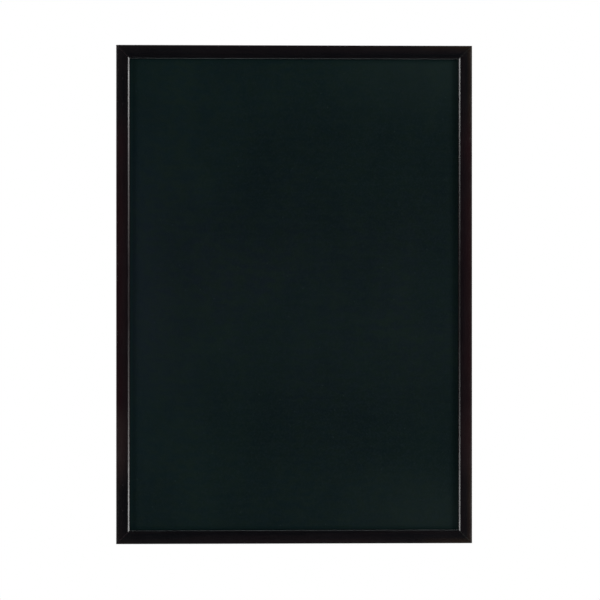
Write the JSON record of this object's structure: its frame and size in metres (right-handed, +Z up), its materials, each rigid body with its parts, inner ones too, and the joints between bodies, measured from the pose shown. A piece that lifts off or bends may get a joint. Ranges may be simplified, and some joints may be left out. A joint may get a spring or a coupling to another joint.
{
  "type": "wall chalkboard",
  "caption": "Portrait wall chalkboard: a green-black writing panel in a slim mitred dark lacquered frame, with ring hangers and rubber pads on its back.",
  "frame": {"origin": "middle of the board's outline, on the wall: the plane of the four rubber pads' back faces", "axes": "+Z up the board's long side, +Y into the wall, so the writing face looks along -Y, and +X to the right for someone who faces the writing surface"},
  "size_m": [0.5, 0.0225, 0.7],
  "materials": {
    "frame_lacquer": "satin",
    "chalk_lacquer": "matte",
    "hardboard": "matte",
    "zinc_steel": "satin",
    "bright_steel": "gloss",
    "pad_rubber": "matte"
  },
  "bodies": {
    "frame": {"top_rail": "frame_lacquer", "bottom_rail": "frame_lacquer", "left_stile": "frame_lacquer", "right_stile": "frame_lacquer", "writing_panel": "chalk_lacquer", "backing_board": "hardboard", "top_left_wedge_1": "zinc_steel", "top_left_wedge_2": "zinc_steel", "top_right_wedge_1": "zinc_steel", "top_right_wedge_2": "zinc_steel", "bottom_left_wedge_1": "zinc_steel", "bottom_left_wedge_2": "zinc_steel", "bottom_right_wedge_1": "zinc_steel", "bottom_right_wedge_2": "zinc_steel", "top_rail_point_1": "zinc_steel", "top_rail_point_2": "zinc_steel", "top_rail_point_3": "zinc_steel", "bottom_rail_point_1": "zinc_steel", "bottom_rail_point_2": "zinc_steel", "bottom_rail_point_3": "zinc_steel", "left_stile_point_1": "zinc_steel", "left_stile_point_2": "zinc_steel", "left_stile_point_3": "zinc_steel", "left_stile_point_4": "zinc_steel", "right_stile_point_1": "zinc_steel", "right_stile_point_2": "zinc_steel", "right_stile_point_3": "zinc_steel", "right_stile_point_4": "zinc_steel", "left_strap": "zinc_steel", "right_strap": "zinc_steel", "left_screw": "zinc_steel", "right_screw": "zinc_steel", "top_left_pad": "pad_rubber", "top_right_pad": "pad_rubber", "bottom_left_pad": "pad_rubber", "bottom_right_pad": "pad_rubber"},
    "left_hanger_ring": {"left_ring": "bright_steel"},
    "right_hanger_ring": {"right_ring": "bright_steel"}
  },
  "joints": [
    {"name": "left_ring_swing", "type": "hinge", "parent": "frame", "child": "left_hanger_ring", "pos_m": [-0.2432, -0.0026, 0.2], "axis": [1, 0, 0], "range_deg": [0, 178]},
    {"name": "right_ring_swing", "type": "hinge", "parent": "frame", "child": "right_hanger_ring", "pos_m": [0.2432, -0.0026, 0.2], "axis": [1, 0, 0], "range_deg": [0, 178]}
  ]
}
